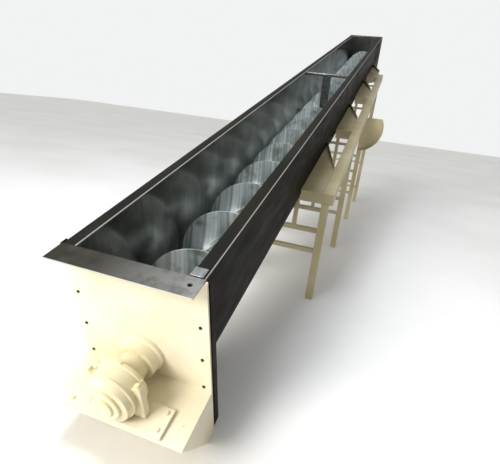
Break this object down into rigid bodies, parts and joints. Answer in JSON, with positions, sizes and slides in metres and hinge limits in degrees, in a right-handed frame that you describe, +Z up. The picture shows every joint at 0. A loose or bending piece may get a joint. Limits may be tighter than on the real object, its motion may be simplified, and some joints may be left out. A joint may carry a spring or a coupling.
{
  "type": "screw conveyor",
  "caption": "Inclined open U-trough screw conveyor with a full-length helical screw, a gear unit at the low end and four welded stands.",
  "frame": {"origin": "middle of the footprint on the floor", "axes": "+Z up, +Y level along the trough from the low drive end to the high tail, +X to the right seen from the drive end"},
  "size_m": [1.0589, 6.9907, 2.6607],
  "materials": {
    "cream_paint": "semi-gloss enamel over plate",
    "dark_steel": "dark oiled sheet steel",
    "bright_steel": "worn bright steel"
  },
  "bodies": {
    "conveyor": {"trough_section_1": "dark_steel", "trough_section_2": "dark_steel", "trough_section_3": "dark_steel", "top_angle_left": "dark_steel", "top_angle_right": "dark_steel", "near_end_frame": "dark_steel", "near_top_bar": "dark_steel", "tail_end_plate": "dark_steel", "tail_top_bar": "dark_steel", "outlet_spout": "dark_steel", "drive_end_plate": "cream_paint", "drive_shelf": "cream_paint", "shelf_knee_left": "cream_paint", "shelf_knee_right": "cream_paint", "gear_base_plate": "cream_paint", "gear_case": "cream_paint", "gear_end_cap": "cream_paint", "drive_bearing": "cream_paint", "tail_bearing": "dark_steel", "hanger_bar": "bright_steel", "hanger_strap": "bright_steel", "hanger_bearing": "bright_steel", "rail_left": "cream_paint", "rail_right": "cream_paint", "stand_1": "cream_paint", "stand_2": "cream_paint", "stand_3": "cream_paint", "stand_4": "cream_paint", "bracket_1_left": "cream_paint", "bracket_1_right": "cream_paint", "bracket_2_left": "cream_paint", "bracket_2_right": "cream_paint", "bracket_3_left": "cream_paint", "bracket_3_right": "cream_paint", "bracket_4_left": "cream_paint", "bracket_4_right": "cream_paint", "guard_plate": "cream_paint", "round_guard": "cream_paint"},
    "screw": {"screw_tube_1": "bright_steel", "screw_tube_2": "bright_steel", "screw_flight_1": "bright_steel", "screw_flight_2": "bright_steel", "screw_flight_3": "bright_steel", "screw_flight_4": "bright_steel", "drive_journal": "bright_steel", "tail_journal": "bright_steel", "coupling_shaft": "bright_steel"}
  },
  "joints": [
    {"name": "screw_spin", "type": "hinge", "parent": "conveyor", "child": "screw", "pos_m": [-0.0925, -3.2388, 0.3489], "axis": [0, 0.9613, 0.2756], "continuous": true}
  ]
}
